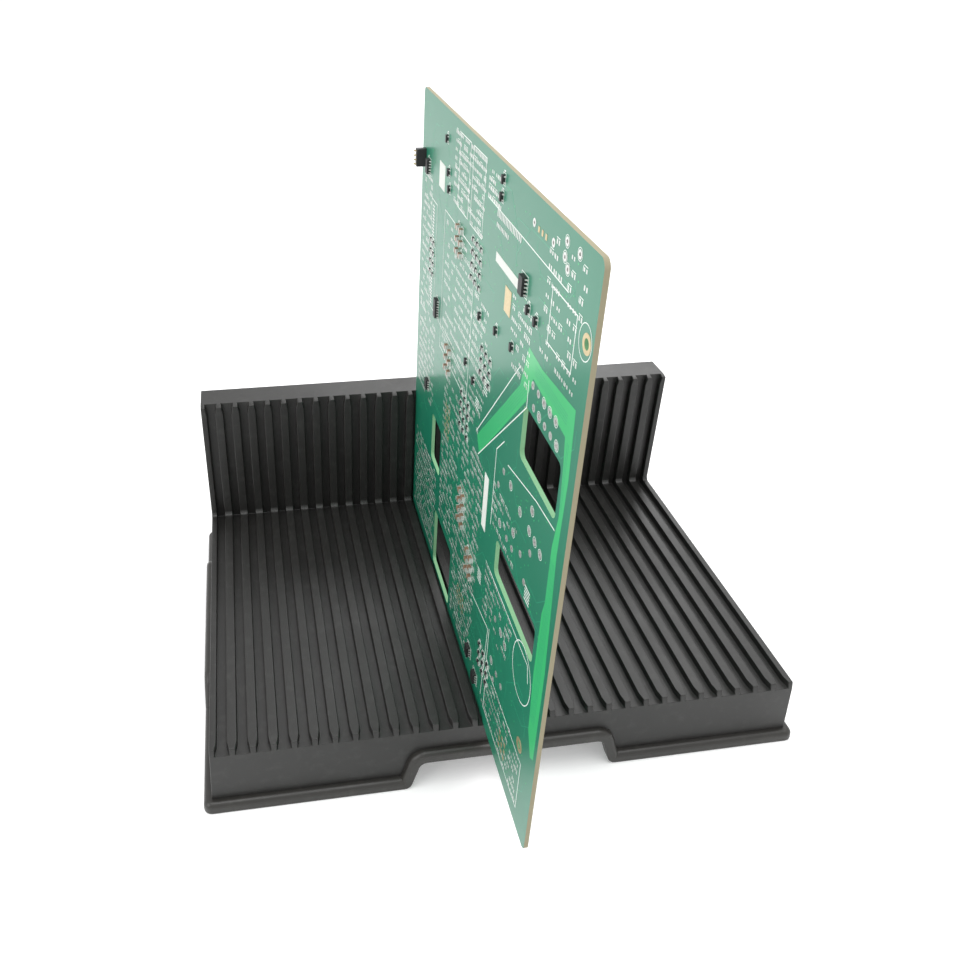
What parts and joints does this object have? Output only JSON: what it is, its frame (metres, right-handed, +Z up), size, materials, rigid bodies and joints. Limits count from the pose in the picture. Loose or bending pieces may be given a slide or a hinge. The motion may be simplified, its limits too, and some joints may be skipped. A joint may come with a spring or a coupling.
{
  "type": "pcb magazine rack",
  "caption": "L-shaped bench rack with parallel grooves along its floor and up its wall, holding a tall circuit board upright in one slot.",
  "frame": {"origin": "centre of the whole part's footprint, on the surface it stands on", "axes": "+X to the right across the slots seen from the open front, +Y towards the wall at the rear, +Z up"},
  "size_m": [0.266, 0.2456, 0.2587],
  "materials": {
    "rack_skin": "satin",
    "rack_ribs": "satin",
    "rack_bead": "satin",
    "green_laminate": "gloss",
    "bare_copper": "satin",
    "tinned_metal": "satin",
    "black_ceramic": "satin",
    "brown_ceramic": "matte",
    "black_case": "matte",
    "label_white": "matte"
  },
  "bodies": {
    "rack": {"floor_deck": "rack_skin", "front_skirt": "rack_skin", "rear_skirt": "rack_skin", "left_skirt": "rack_skin", "right_skirt": "rack_skin", "wall_front_skin": "rack_skin", "wall_back_skin": "rack_skin", "wall_cap": "rack_skin", "left_wall_end": "rack_skin", "right_wall_end": "rack_skin", "floor_ribs": "rack_ribs", "wall_ribs": "rack_ribs", "front_bead": "rack_bead", "rear_bead": "rack_bead", "left_bead": "rack_bead", "right_bead": "rack_bead", "deck_webs": "rack_skin", "wall_webs": "rack_skin"},
    "board": {"board_laminate": "green_laminate", "screw_lands": "bare_copper", "terminal_eyelets": "tinned_metal", "loose_eyelets": "tinned_metal", "ribbon_pads": "tinned_metal", "chip_pads": "bare_copper", "resistor_bodies": "black_ceramic", "resistor_caps": "tinned_metal", "capacitor_bodies": "brown_ceramic", "capacitor_caps": "tinned_metal", "transistor_cases": "black_case", "transistor_legs": "tinned_metal", "logic_cases": "black_case", "logic_legs": "tinned_metal", "header_housing": "black_case", "header_pins_row": "bare_copper", "blank_labels": "label_white"}
  },
  "joints": [
    {"name": "board_lift", "type": "slide", "parent": "rack", "child": "board", "axis": [0, 0, 1], "range_m": [0, 0.09]}
  ]
}
